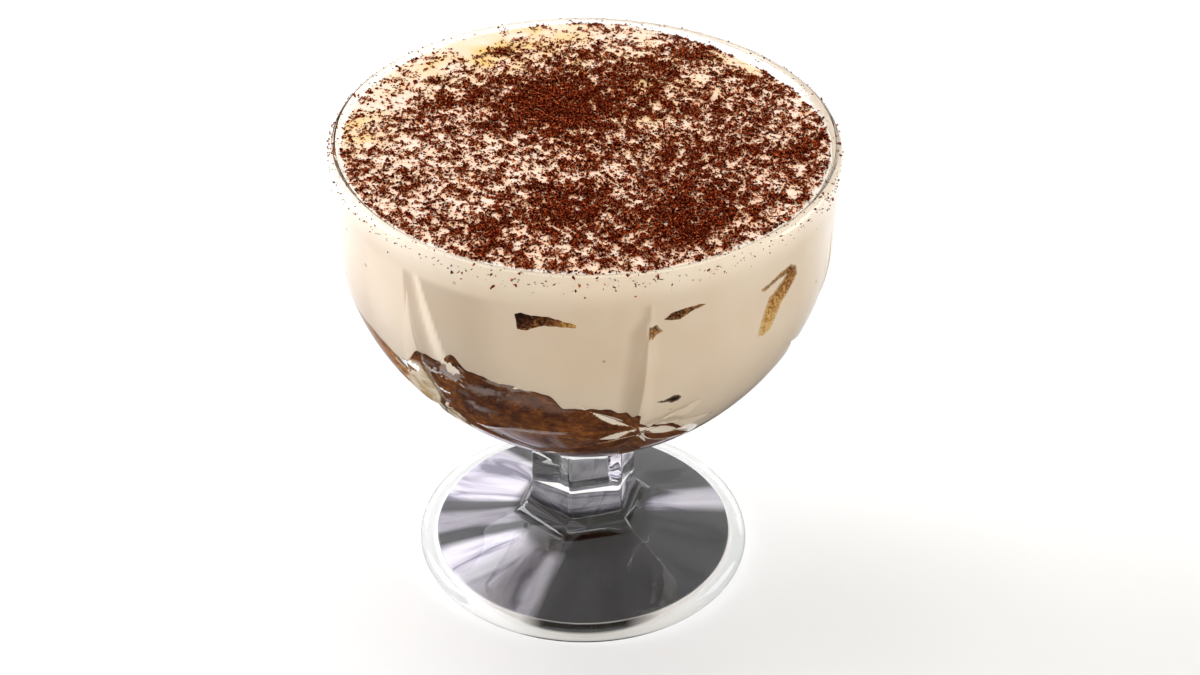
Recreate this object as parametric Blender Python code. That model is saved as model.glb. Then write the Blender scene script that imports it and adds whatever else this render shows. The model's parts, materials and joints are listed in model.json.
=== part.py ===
"""Tiramisu served in a footed pressed-glass coupe.

Units are metres and +Z is up. The origin is the centre of the foot on the table, and the
front of the dessert faces -Y. An azimuth is measured in degrees from the front, positive
towards +X. The coupe is one solid of revolution with cut flutes and stars, a six-sided stem
and a round foot. Inside it lie a soaked sponge, the cream with its grated chocolate, and
the ends of biscuits that show against the glass.
"""

import math
import random

import bmesh
import bpy
from mathutils import Matrix, Vector, noise

MM = 0.001

# Bowl of the coupe
GLASS_HEIGHT = 105.0 * MM
BOWL_RADIUS = 51.6 * MM
BOWL_WIDEST_Z = 88.0 * MM
BOWL_BASE_Z = 31.0 * MM
BOWL_POWER = 0.715
RIM_FLARE = 0.4 * MM
RIM_THICKNESS = 2.5 * MM
LIP_ANGLES = (0.0, 35.0, 90.0, 145.0, 180.0)
INSIDE_BASE_Z = 36.8 * MM
OUTSIDE_ROWS = (35.2, 37.0, 39.5, 42.5, 46.0, 50.0, 54.5, 59.5, 65.0, 71.0, 78.0, 87.0, 96.0)
INSIDE_ROWS = (102.0, 94.0, 86.0, 78.0, 71.0, 65.0, 59.0, 54.0, 49.0, 44.5, 41.0, 38.6)

# Six-sided stem and flared foot
STEM_RADIUS = 11.8 * MM
STEM_ROWS = (24.0, 30.0)
STEM_FADE_START = 33.5 * MM
STEM_FADE_END = 38.5 * MM
FOOT_RADIUS = 36.6 * MM
FOOT_EDGE_HEIGHT = 4.4 * MM
FOOT_EDGE_ROUND = 2.0 * MM
FOOT_EDGE_ANGLES = (-35.0, 5.0, 50.0)
FLARE_SLOPE = math.radians(19.6)
FLARE_FILLET = 7.0 * MM
FLARE_ROWS = 5
FILLET_PARTS = (0.33, 0.67, 1.0)
FLAT_PANEL_END = 20.0 * MM
REST_RING_INSIDE = 32.3 * MM
REST_RING_OUTSIDE = 34.9 * MM
UNDERSIDE = ((12.0, 3.0), (24.0, 2.6), (31.7, 2.0))
UNDERSIDE_CENTRE_Z = 3.1 * MM
GLASS_SMOOTH_ANGLE = math.radians(14)

# Cut pattern, six times round the bowl: a tall flute and seven rays that meet in a star
SIDES = 6
TURN = 15.0
SECTOR = 360.0 / SIDES
GLASS_COLUMNS = 48
STAR_Z = 62.0 * MM
CUT_LIFT = 0.4 * MM
CUT_STATIONS = 6
FLUTE = {"direction": 90.0, "length": 34.5 * MM, "half_width": 4.0 * MM, "depth": 1.2 * MM, "skew": 0.45}
RAY_SHAPE = {"half_width": 2.3 * MM, "depth": 1.3 * MM, "skew": 0.85}
RAYS = ((0.0, 15.0), (40.0, 15.5), (-44.0, 16.5), (-90.0, 24.0), (180.0, 15.0), (140.0, 15.5), (224.0, 16.5))

# Filling
GAP = 0.3 * MM
FILLING_COLUMNS = 48
FILLING_SMOOTH_ANGLE = math.radians(40)
CREAM_TOP_Z = 103.6 * MM
CREAM_TILT = 0.2 * MM
CREAM_SWELL = 0.2 * MM
CREAM_SWELL_SIZE = 18.0 * MM
SPONGE_CENTRE_Z = 63.0 * MM
SPONGE_EDGE = (
    (-180, 70), (-120, 77), (-90, 79), (-55, 78), (-31, 80), (-12, 76), (0, 71.5), (12, 66),
    (24, 60), (40, 55), (65, 52), (100, 51), (135, 56),
)
SPONGE_RAGGED = 0.9 * MM
SPONGE_RAGGED_TURNS = (6.4, 14.3)
SPONGE_DISH_POWER = 1.5
SPONGE_BUMP = 4.8 * MM
SPONGE_BUMP_SIZE = 9.0 * MM
SPONGE_WALL_ROWS = 8
SPONGE_TOP_PARTS = (0.28, 0.55, 0.8)
CREAM_WALL_ROWS = 7
CREAM_TOP_PARTS = (0.92, 0.76, 0.56, 0.3)

# Grated chocolate on the cream
FLECK_COUNT = 90
FLECK_SEED = 7
FLECK_SPACING = 3.4 * MM
FLECK_LENGTH = (1.5, 2.6)
FLECK_WIDTH = (0.7, 1.1)
FLECK_REACH = 46.0 * MM
FLECK_CROOKED = 0.16
FLECK_LEAN = 0.55
FLECK_LIFT = 0.12
FLECK_SMOOTH_ANGLE = math.radians(30)
THIN_COVER = 0.25
# Heaps of chocolate on the cream: centre x, centre y, radius, strength
HEAPS = (
    (-3.0, 22.0, 22.0, 1.0),
    (26.0, -16.0, 16.0, 0.9),
    (-4.0, -22.0, 18.0, 0.8),
    (30.0, 16.0, 18.0, 0.6),
    (-28.0, 2.0, 16.0, 0.45),
)

# Biscuit ends at the wall: outline as azimuth and height in millimetres, and depth into the cream
BISCUITS = {
    "biscuit_front": (
        ((-14.8, 94.9), (-13.6, 95.4), (-7.4, 95.1), (-3.5, 94.0), (-1.4, 93.5), (-1.6, 92.7), (-8.1, 92.9),
         (-12.5, 91.3), (-14.3, 91.5)),
        5.0 * MM,
    ),
    "biscuit_middle": (
        ((17.9, 93.3), (19.6, 94.6), (22.5, 95.2), (27.6, 95.1), (25.0, 94.1), (21.5, 92.7), (19.0, 92.6)),
        4.0 * MM,
    ),
    "biscuit_crumb": (
        ((14.6, 92.0), (16.3, 92.5), (17.8, 90.8), (16.1, 89.9), (15.0, 88.2)),
        2.0 * MM,
    ),
    "biscuit_right": (
        ((42.6, 93.1), (48.3, 94.3), (54.0, 95.0), (54.6, 91.6), (52.6, 88.9), (50.0, 86.5), (48.6, 83.6),
         (45.8, 81.3), (43.8, 82.4), (44.0, 86.7), (45.6, 90.0), (48.2, 91.8), (43.7, 91.9)),
        6.0 * MM,
    ),
    "biscuit_low": (
        ((20.4, 72.2), (21.7, 73.6), (24.1, 72.7), (23.4, 71.2)),
        2.0 * MM,
    ),
}
BISCUIT_TAPER = 0.75
POCKET_GAP = 1.4 * GAP
CUTTER_OVERSHOOT = 1.2 * MM
SHARPEST_CORNER = 0.35


def clear_scene():
    for old in list(bpy.data.objects):
        bpy.data.objects.remove(old, do_unlink=True)


def make_material(name, colour, roughness, transmission=0.0):
    material = bpy.data.materials.new(name)
    material.use_nodes = True
    shader = material.node_tree.nodes["Principled BSDF"]
    shader.inputs["Base Color"].default_value = (*colour, 1.0)
    shader.inputs["Roughness"].default_value = roughness
    shader.inputs["Metallic"].default_value = 0.0
    shader.inputs["Transmission Weight"].default_value = transmission
    shader.inputs["IOR"].default_value = 1.5
    return material


def around(azimuth, radius, z):
    """The point at an azimuth in degrees, a distance from the axis and a height."""
    angle = math.radians(azimuth)
    return Vector((radius * math.sin(angle), -radius * math.cos(angle), z))


def ring_solid(name, rings, material, smooth_angle):
    """A closed solid through rings of points, whose first and last ring are single points."""
    mesh = bmesh.new()
    made = [[mesh.verts.new(point) for point in ring] for ring in rings]
    count = len(made[1])
    for lower, upper in zip(made[:-1], made[1:]):
        for column in range(count):
            after = (column + 1) % count
            if len(lower) == 1:
                mesh.faces.new((lower[0], upper[after], upper[column]))
            elif len(upper) == 1:
                mesh.faces.new((lower[column], lower[after], upper[0]))
            else:
                mesh.faces.new((lower[column], lower[after], upper[after], upper[column]))
    return finish_solid(name, mesh, material, smooth_angle)


def finish_solid(name, mesh, material, smooth_angle):
    """Turn the faces outwards, split them into triangles and make the object."""
    bmesh.ops.recalc_face_normals(mesh, faces=mesh.faces)
    bmesh.ops.triangulate(mesh, faces=mesh.faces)
    data = bpy.data.meshes.new(name)
    mesh.to_mesh(data)
    mesh.free()
    data.shade_smooth()
    data.set_sharp_from_angle(angle=smooth_angle)
    data.materials.append(material)
    solid = bpy.data.objects.new(name, data)
    bpy.context.scene.collection.objects.link(solid)
    return solid


def bowl_curve(z, radius, base):
    """Radius at a height of a bowl that closes at its base and flares slightly at the rim."""
    fall = min(1.0, max(0.0, (BOWL_WIDEST_Z - z) / (BOWL_WIDEST_Z - base)))
    flare = RIM_FLARE * max(0.0, (z - BOWL_WIDEST_Z) / (GLASS_HEIGHT - BOWL_WIDEST_Z))
    return radius * (1.0 - fall * fall) ** BOWL_POWER + flare


def outside_radius(z):
    return bowl_curve(z, BOWL_RADIUS, BOWL_BASE_Z)


def inside_radius(z):
    return bowl_curve(z, BOWL_RADIUS - RIM_THICKNESS, INSIDE_BASE_Z)


def filling_radius(z):
    return bowl_curve(z, BOWL_RADIUS - RIM_THICKNESS - GAP, INSIDE_BASE_Z + GAP)


def height_along(distance):
    """Height reached after a distance along the bowl, up or down from the star's centre."""
    z = STAR_Z
    step = math.copysign(0.5 * MM, distance)
    for _ in range(int(abs(distance) / abs(step))):
        z += step / math.hypot(1.0, outside_slope(z))
    return z


def outside_slope(z):
    """How fast the outside radius grows with height."""
    reach = 0.2 * MM
    return (outside_radius(z + reach) - outside_radius(z - reach)) / (2.0 * reach)


def on_bowl(centre_azimuth, across, up, lift):
    """A point at distances across and up from a star's centre, lifted off the bowl."""
    z = height_along(up)
    slope = outside_slope(z)
    tilt = math.hypot(1.0, slope)
    azimuth = centre_azimuth + math.degrees(across / outside_radius(z))
    return around(azimuth, outside_radius(z) + lift / tilt, z - lift * slope / tilt)


def facet_offset(azimuth):
    """Degrees from the middle of the nearest of the six sides."""
    return (azimuth - TURN + SECTOR / 2) % SECTOR - SECTOR / 2


def cut_tool(name, centre_azimuth, direction, length, half_width, depth, skew, material):
    """A pointed V-shaped blade that lies along the bowl from a star's centre outwards."""
    angle = math.radians(direction)
    ahead = Vector((math.cos(angle), math.sin(angle)))
    aside = Vector((-ahead.y, ahead.x))
    wide = half_width * (depth + CUT_LIFT) / depth

    def place(part, sideways, lift):
        spot = ahead * length * part + aside * sideways
        return mesh.verts.new(on_bowl(centre_azimuth, spot.x, spot.y, lift))

    mesh = bmesh.new()
    tips = (place(0.0, 0.0, CUT_LIFT), place(1.0, 0.0, CUT_LIFT))
    sections = []
    for station in range(1, CUT_STATIONS):
        part = station / CUT_STATIONS
        swell = math.sin(math.pi * part ** skew)
        left = place(part, wide * swell, CUT_LIFT)
        keel = place(part, 0.0, -depth * swell)
        right = place(part, -wide * swell, CUT_LIFT)
        sections.append((left, keel, right))
    for side in range(3):
        after = (side + 1) % 3
        mesh.faces.new((tips[0], sections[0][side], sections[0][after]))
        mesh.faces.new((tips[1], sections[-1][after], sections[-1][side]))
        for here, further in zip(sections[:-1], sections[1:]):
            mesh.faces.new((here[side], further[side], further[after], here[after]))
    return finish_solid(name, mesh, material, GLASS_SMOOTH_ANGLE)


def foot_profile():
    """Radius, height and six-sidedness from under the foot to the top of the stem."""
    rows = [(radius * MM, z * MM, 0.0) for radius, z in UNDERSIDE]
    rows += [(REST_RING_INSIDE, 0.0, 0.0), (REST_RING_OUTSIDE, 0.0, 0.0)]
    edge_centre = FOOT_RADIUS - FOOT_EDGE_ROUND
    for degrees in FOOT_EDGE_ANGLES:
        angle = math.radians(degrees)
        radius = edge_centre + FOOT_EDGE_ROUND * math.cos(angle)
        rows.append((radius, FOOT_EDGE_ROUND * (1.0 + math.sin(angle)), 0.0))
    fillet_centre = STEM_RADIUS + FLARE_FILLET
    slope_end = fillet_centre - FLARE_FILLET * math.sin(FLARE_SLOPE)
    for row in range(FLARE_ROWS):
        radius = edge_centre + (slope_end - edge_centre) * row / (FLARE_ROWS - 1)
        z = FOOT_EDGE_HEIGHT + (edge_centre - radius) * math.tan(FLARE_SLOPE)
        rows.append((radius, z, six_sided(radius)))
    centre_z = rows[-1][1] + FLARE_FILLET * math.cos(FLARE_SLOPE)
    start = math.radians(270.0) - FLARE_SLOPE
    for part in FILLET_PARTS:
        angle = start + (math.pi - start) * part
        radius = fillet_centre + FLARE_FILLET * math.cos(angle)
        rows.append((radius, centre_z + FLARE_FILLET * math.sin(angle), 1.0))
    rows += [(STEM_RADIUS, z * MM, 1.0) for z in STEM_ROWS]
    return rows


def six_sided(radius):
    """1 where the foot's panels are flat, fading to 0 at its round edge."""
    fade = (radius - FLAT_PANEL_END) / (REST_RING_INSIDE - FLAT_PANEL_END)
    return 1.0 - min(1.0, max(0.0, fade))


def bowl_profile():
    """Radius, height and six-sidedness up the bowl, over the rim and down inside."""
    rows = []
    for millimetres in OUTSIDE_ROWS:
        z = millimetres * MM
        sides = min(1.0, max(0.0, (STEM_FADE_END - z) / (STEM_FADE_END - STEM_FADE_START)))
        rows.append((max(outside_radius(z), STEM_RADIUS), z, sides))
    lip = RIM_THICKNESS / 2
    lip_centre = outside_radius(GLASS_HEIGHT) - lip
    for degrees in LIP_ANGLES:
        angle = math.radians(degrees)
        rows.append((lip_centre + lip * math.cos(angle), GLASS_HEIGHT - lip + lip * math.sin(angle), 0.0))
    rows += [(inside_radius(z * MM), z * MM, 0.0) for z in INSIDE_ROWS]
    return rows


def make_glass():
    """The whole coupe as one solid, with its pattern cut into the bowl."""
    rings = [[Vector((0.0, 0.0, UNDERSIDE_CENTRE_Z))]]
    for radius, z, sides in foot_profile() + bowl_profile():
        ring = []
        for column in range(GLASS_COLUMNS):
            azimuth = TURN + 360.0 * column / GLASS_COLUMNS
            flat = math.cos(math.radians(SECTOR / 2)) / math.cos(math.radians(facet_offset(azimuth)))
            ring.append(around(azimuth, radius * (1.0 + sides * (flat - 1.0)), z))
        rings.append(ring)
    rings.append([Vector((0.0, 0.0, INSIDE_BASE_Z))])
    clear = make_material("glass", (0.93, 0.95, 0.94), 0.03, transmission=1.0)
    glass = ring_solid("glass", rings, clear, GLASS_SMOOTH_ANGLE)
    tools = []
    for side in range(SIDES):
        centre = TURN + SECTOR * side
        tools.append(cut_tool(f"flute_{side}", centre, material=clear, **FLUTE))
        for number, (direction, length) in enumerate(RAYS):
            name = f"ray_{side}_{number}"
            tools.append(cut_tool(name, centre, direction, length * MM, material=clear, **RAY_SHAPE))
    apply_boolean(glass, gather("cuts", tools), "DIFFERENCE")


def sponge_edge(azimuth):
    """Height of the sponge's ragged top edge on the wall."""
    azimuth = (azimuth + 180.0) % 360.0 - 180.0
    points = list(SPONGE_EDGE) + [(180, SPONGE_EDGE[0][1])]
    for (left, low), (right, high) in zip(points[:-1], points[1:]):
        if left <= azimuth <= right:
            part = (azimuth - left) / (right - left)
            smooth = part * part * (3.0 - 2.0 * part)
            wide, narrow = SPONGE_RAGGED_TURNS
            ragged = noise.noise(around(azimuth, wide, 0.0)) + 0.5 * noise.noise(around(azimuth, narrow, 0.5))
            return (low + (high - low) * smooth) * MM + SPONGE_RAGGED * ragged
    return points[-1][1] * MM


def sponge_top(azimuth, part, lift):
    """A point of the sponge's top, from its middle at part 0 to the wall at part 1."""
    edge = sponge_edge(azimuth) + lift
    radius = filling_radius(edge) * part
    centre = SPONGE_CENTRE_Z + lift
    bump = SPONGE_BUMP * part * (1.0 - part) * noise.noise(around(azimuth, radius / SPONGE_BUMP_SIZE, 0.0))
    return around(azimuth, radius, centre + (edge - centre) * part ** SPONGE_DISH_POWER + bump)


def filling_columns():
    return [360.0 * column / FILLING_COLUMNS for column in range(FILLING_COLUMNS)]


def make_sponge():
    """The coffee-soaked sponge in the bottom of the bowl, thick at the left."""
    floor = INSIDE_BASE_Z + GAP
    rings = [[Vector((0.0, 0.0, floor))]]
    for row in range(1, SPONGE_WALL_ROWS + 1):
        part = (row / SPONGE_WALL_ROWS) ** 2
        ring = []
        for azimuth in filling_columns():
            z = floor + (sponge_edge(azimuth) - floor) * part
            ring.append(around(azimuth, filling_radius(z), z))
        rings.append(ring)
    for part in reversed(SPONGE_TOP_PARTS):
        rings.append([sponge_top(azimuth, part, 0.0) for azimuth in filling_columns()])
    rings.append([Vector((0.0, 0.0, SPONGE_CENTRE_Z))])
    soaked = make_material("soaked_sponge", (0.20, 0.095, 0.035), 0.45)
    return ring_solid("sponge", rings, soaked, FILLING_SMOOTH_ANGLE)


def cream_top(x, y):
    """Height of the cream, lowest at the back right and gently uneven."""
    swell = noise.noise(Vector((x, y, 0.0)) / CREAM_SWELL_SIZE) * CREAM_SWELL
    return CREAM_TOP_Z + swell - CREAM_TILT * (x + y) / (2.0 * BOWL_RADIUS)


def make_cream():
    """The cream from the sponge up to just below the rim."""
    rings = [[Vector((0.0, 0.0, SPONGE_CENTRE_Z + GAP))]]
    for part in SPONGE_TOP_PARTS:
        rings.append([sponge_top(azimuth, part, GAP) for azimuth in filling_columns()])
    for row in range(CREAM_WALL_ROWS + 1):
        ring = []
        for azimuth in filling_columns():
            low = sponge_edge(azimuth) + GAP
            rim_point = around(azimuth, filling_radius(CREAM_TOP_Z), 0.0)
            high = cream_top(rim_point.x, rim_point.y)
            z = low + (high - low) * row / CREAM_WALL_ROWS
            ring.append(around(azimuth, filling_radius(z), z))
        rings.append(ring)
    for part in CREAM_TOP_PARTS:
        ring = []
        for azimuth in filling_columns():
            point = around(azimuth, filling_radius(CREAM_TOP_Z) * part, 0.0)
            ring.append(Vector((point.x, point.y, cream_top(point.x, point.y))))
        rings.append(ring)
    rings.append([Vector((0.0, 0.0, cream_top(0.0, 0.0)))])
    cream = make_material("cream", (0.86, 0.74, 0.55), 0.45)
    return ring_solid("cream", rings, cream, FILLING_SMOOTH_ANGLE)


def grown(points, amount):
    """A closed outline moved outwards by an amount, corners kept sharp."""
    turned = sum(a.x * b.y - a.y * b.x for a, b in zip(points, points[1:] + points[:1]))
    outward = math.copysign(amount, turned)
    moved = []
    for before, here, after in zip(points[-1:] + points[:-1], points, points[1:] + points[:1]):
        first = (here - before).normalized()
        second = (after - here).normalized()
        normals = (Vector((first.y, -first.x)), Vector((second.y, -second.x)))
        reach = max(SHARPEST_CORNER, 1.0 + normals[0].dot(normals[1]))
        moved.append(here + (normals[0] + normals[1]) * outward / reach)
    return moved


def wall_piece(name, outline, depth, outward, grow, material):
    """A piece that follows the wall inside an outline, with a smaller, flat back."""
    middle_azimuth = sum(azimuth for azimuth, _ in outline) / len(outline)
    middle_z = sum(z for _, z in outline) / len(outline) * MM
    scale = math.radians(1.0) * filling_radius(middle_z)
    flat = [Vector((azimuth * scale, z * MM)) for azimuth, z in outline]
    centre = sum(flat, Vector((0.0, 0.0))) / len(flat)
    inwards = -around(middle_azimuth, 1.0, 0.0)
    back_distance = filling_radius(middle_z) - depth
    mesh = bmesh.new()
    front = []
    back = []
    for point in grown(flat, grow):
        front.append(mesh.verts.new(around(point.x / scale, filling_radius(point.y) + outward, point.y)))
    for point in grown([centre + (point - centre) * BISCUIT_TAPER for point in flat], grow):
        on_wall = around(point.x / scale, filling_radius(point.y), point.y)
        back.append(mesh.verts.new(on_wall - inwards * (on_wall.dot(inwards) + back_distance)))
    count = len(outline)
    for point in range(count):
        after = (point + 1) % count
        mesh.faces.new((front[point], front[after], back[after], back[point]))
    mesh.faces.new(front)
    mesh.faces.new(back)
    return finish_solid(name, mesh, material, FILLING_SMOOTH_ANGLE)


def make_biscuits():
    """The biscuit ends, each in its own pocket of the cream."""
    toasted = make_material("biscuit", (0.33, 0.16, 0.05), 0.7)
    for name, (outline, depth) in BISCUITS.items():
        wall_piece(name, outline, depth, 0.0, 0.0, toasted)


def apply_boolean(solid, tools, operation):
    """Join or cut a solid with every object of a collection, and remove those objects."""
    modifier = solid.modifiers.new(operation.lower(), "BOOLEAN")
    modifier.operation = operation
    modifier.operand_type = "COLLECTION"
    modifier.collection = tools
    modifier.solver = "EXACT"
    evaluated = solid.evaluated_get(bpy.context.evaluated_depsgraph_get())
    data = bpy.data.meshes.new_from_object(evaluated)
    solid.modifiers.clear()
    solid.data = data
    for tool in list(tools.objects):
        bpy.data.objects.remove(tool, do_unlink=True)
    bpy.data.collections.remove(tools)


def gather(name, objects):
    """Move objects into a collection of their own."""
    group = bpy.data.collections.new(name)
    bpy.context.scene.collection.children.link(group)
    for item in objects:
        bpy.context.scene.collection.objects.unlink(item)
        group.objects.link(item)
    return group


def cut_pockets(cream):
    """Room in the cream for the biscuit ends."""
    cutters = []
    material = cream.data.materials[0]
    for name, (outline, depth) in BISCUITS.items():
        cutter = wall_piece(name + "_pocket", outline, depth + GAP, CUTTER_OVERSHOOT, POCKET_GAP, material)
        cutters.append(cutter)
    apply_boolean(cream, gather("pockets", cutters), "DIFFERENCE")


def chocolate_density(x, y):
    """How thickly the chocolate lies, from a thin cover to the middle of a heap."""
    total = THIN_COVER
    for centre_x, centre_y, radius, strength in HEAPS:
        distance = math.hypot(x / MM - centre_x, y / MM - centre_y) / radius
        total += strength * math.exp(-distance * distance)
    return min(1.0, total)


def fleck_places(dice):
    """Places for the larger flecks, spread by the density and never too close together."""
    places = []
    while len(places) < FLECK_COUNT:
        radius = FLECK_REACH * math.sqrt(dice.random())
        place = around(dice.uniform(0.0, 360.0), radius, 0.0)
        if dice.random() > chocolate_density(place.x, place.y):
            continue
        if all((place - other).length > FLECK_SPACING for other in places):
            places.append(place)
    return places


def make_fleck(name, place, dice, material):
    """One shaving: a crooked block half sunk in the cream."""
    mesh = bmesh.new()
    bmesh.ops.create_cube(mesh, size=1.0)
    for vertex in mesh.verts:
        vertex.co += Vector([dice.uniform(-FLECK_CROOKED, FLECK_CROOKED) for _ in range(3)])
    size = Vector([dice.uniform(*span) * MM for span in (FLECK_LENGTH, FLECK_WIDTH, FLECK_WIDTH)])
    bmesh.ops.scale(mesh, vec=size, verts=mesh.verts)
    lean = Matrix.Rotation(dice.uniform(-FLECK_LEAN, FLECK_LEAN), 4, "Y")
    roll = Matrix.Rotation(dice.uniform(-FLECK_LEAN, FLECK_LEAN), 4, "X")
    turn = Matrix.Rotation(dice.uniform(0.0, math.tau), 4, "Z")
    height = cream_top(place.x, place.y) + size.z * FLECK_LIFT
    move = Matrix.Translation((place.x, place.y, height))
    bmesh.ops.transform(mesh, matrix=move @ turn @ lean @ roll, verts=mesh.verts)
    return finish_solid(name, mesh, material, FLECK_SMOOTH_ANGLE)


def add_chocolate(cream):
    """The larger flecks of grated chocolate, joined to the cream that they lie on."""
    dice = random.Random(FLECK_SEED)
    material = cream.data.materials[0]
    flecks = []
    for number, place in enumerate(fleck_places(dice)):
        flecks.append(make_fleck(f"fleck_{number}", place, dice, material))
    apply_boolean(cream, gather("flecks", flecks), "UNION")


def main():
    clear_scene()
    make_glass()
    make_sponge()
    make_biscuits()
    cream = make_cream()
    cut_pockets(cream)
    add_chocolate(cream)


main()
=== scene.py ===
"""Looks of the tiramisu in its footed pressed-glass coupe.

Units are metres and +Z is up. The front of the dessert faces -Y. An azimuth is measured in
degrees from the front, positive towards +X. The coupe's profile and its cut pattern follow
the same named sizes as the CAD part, with finer steps and rounded edges.
"""

import json
from math import cos, degrees, exp, hypot, log, pi, radians, sin, tan, tau

import bmesh
import bpy
import numpy as np
from mathutils import Matrix, Vector, noise

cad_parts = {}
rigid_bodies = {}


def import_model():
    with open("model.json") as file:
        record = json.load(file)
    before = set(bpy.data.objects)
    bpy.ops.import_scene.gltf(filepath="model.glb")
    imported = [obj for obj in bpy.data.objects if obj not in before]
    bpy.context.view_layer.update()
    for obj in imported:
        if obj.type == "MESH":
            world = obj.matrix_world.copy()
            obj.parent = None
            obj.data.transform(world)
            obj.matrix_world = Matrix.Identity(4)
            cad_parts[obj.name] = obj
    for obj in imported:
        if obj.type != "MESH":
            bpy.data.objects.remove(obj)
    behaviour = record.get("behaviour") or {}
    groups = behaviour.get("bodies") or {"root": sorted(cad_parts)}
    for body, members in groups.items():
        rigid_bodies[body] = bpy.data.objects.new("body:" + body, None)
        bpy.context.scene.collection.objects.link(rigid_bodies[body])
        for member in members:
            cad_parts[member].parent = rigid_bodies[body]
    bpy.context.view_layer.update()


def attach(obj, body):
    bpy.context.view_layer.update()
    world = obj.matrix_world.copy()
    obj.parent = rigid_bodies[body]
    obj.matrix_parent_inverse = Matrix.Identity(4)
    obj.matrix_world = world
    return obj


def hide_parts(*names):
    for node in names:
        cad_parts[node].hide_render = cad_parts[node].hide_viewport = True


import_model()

MM = 0.001
WHITE = (1.0, 1.0, 1.0)

# Camera, solved from the outlines of the rim, bowl and foot
CAMERA_PLACE = (0.00333, -0.43552, 0.36125)
CAMERA_PITCH = radians(54.92)
CAMERA_ROLL = 0.01077
CAMERA_LENS = 74.7
SENSOR_WIDTH = 36.0

# Bowl, in the sizes of the CAD part
GLASS_HEIGHT = 105.0 * MM
BOWL_RADIUS = 51.6 * MM
BOWL_WIDEST_Z = 88.0 * MM
BOWL_BASE_Z = 31.0 * MM
BOWL_POWER = 0.715
RIM_FLARE = 0.4 * MM
RIM_THICKNESS = 2.5 * MM
INSIDE_BASE_Z = 36.8 * MM
LIP = RIM_THICKNESS / 2

# Stem and foot
STEM_RADIUS = 11.8 * MM
STEM_BLEND = 1.6 * MM
STEM_FADE = (33.5 * MM, 38.5 * MM)
CORNER_ROUND = 1.6
FOOT_RADIUS = 36.6 * MM
FOOT_EDGE_ROUND = 2.2 * MM
FLARE_SLOPE = radians(19.6)
FLARE_START = (34.6 * MM, 4.4 * MM)
FLARE_FILLET = 7.0 * MM
FLAT_PANEL_END = 20.0 * MM
REST_RING = (32.3 * MM, 34.4 * MM)
UNDERSIDE_CENTRE_Z = 3.1 * MM
UNDERSIDE_EDGE_Z = 2.0 * MM
UNDERSIDE_ROUND = 0.5 * MM
HOLLOW_SHADE = 0.9

# Painted reflections under the foot: tones by azimuth, as its panels mirror a room: light at the left, dark
# in front
FOOT_REFLECTION_TONES = (
    (-180, 0.20), (-165, 0.08), (-148, 0.08), (-143, 0.70), (-130, 0.90), (-108, 0.88), (-104, 0.08),
    (-98, 0.05), (-95, 0.42), (-86, 0.40), (-83, 0.05), (-77, 0.06), (-73, 0.85), (-62, 0.90), (-55, 0.48),
    (-47, 0.34), (-40, 0.15), (-30, 0.17), (-26, 0.36), (-21, 0.28), (-17, 0.024), (-12, 0.016), (42, 0.016),
    (47, 0.034), (99, 0.030), (105, 0.62), (113, 0.50), (117, 0.045), (160, 0.07), (180, 0.20),
)
# Painted shade under the stem, seen through it: its tone, and the distances from the axis over which it fades
# in
PAINTED_STEM_SHADE = 0.10
PAINTED_STEM_SHADE_REACH = (15.5 * MM, 12.0 * MM)
# Painted highlight on the resting ring, and painted shade on its inner wall in front: the light tone, the
# dark tone, and azimuths where the dark fades in and out
RING_HIGHLIGHT = 0.80
RING_SHADE = 0.022
RING_SHADE_SIDE = (-24.0, -15.0, 17.0, 32.0)

# Cut pattern, six times round the bowl
SIDES = 6
TURN = 15.0
SECTOR = 360.0 / SIDES
STAR_Z = 62.0 * MM
CUT_LIFT = 0.4 * MM
CUT_STATIONS = 18
CUT_SIDE_STEPS = 4
CUT_CREASE = radians(16)
KEEL_ROUND = 0.12
FLUTE = {"direction": 90.0, "length": 34.5 * MM, "half_width": 4.0 * MM, "depth": 1.2 * MM, "skew": 0.45}
RAY_SHAPE = {"half_width": 2.3 * MM, "depth": 1.3 * MM, "skew": 0.85}

# Rays of a star: direction in degrees from the right, length in millimetres; and how far the stars are moved
RAYS = ((3, 16), (40, 15.5), (-38, 16.5), (-92, 24), (172, 17), (138, 19.5), (221, 24))
STAR_ACROSS = 1.3 * MM
STAR_UP = -0.5 * MM

# Degrees by which each side's cuts stand off the even spacing
CUT_SHIFT = (-0.8, -1.5, 0, 0, 0, 4)

# Light that the two faces of each cut throw on the filling: left and right of its keel, looking outwards
FLUTE_LIGHT = (0.25, 0.90)
STREAKED_SIDES = (0, 5)
RAY_LIGHTS = (
    (0.25, 0.60), (0.35, 0.92), (0.97, 0.95), (0.40, 0.20), (0.60, 0.35), (0.95, 0.25), (0.97, 0.95),
)
QUIET_STAR = 5
QUIET_LIGHT = 0.60
PLAIN_LIGHT = 0.5
TOP_LIGHT = 1.0
BRIGHT_RIM = (97.0 * MM, 104.0 * MM)
CUT_SHADE_DEPTH = 0.15 * MM

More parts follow.
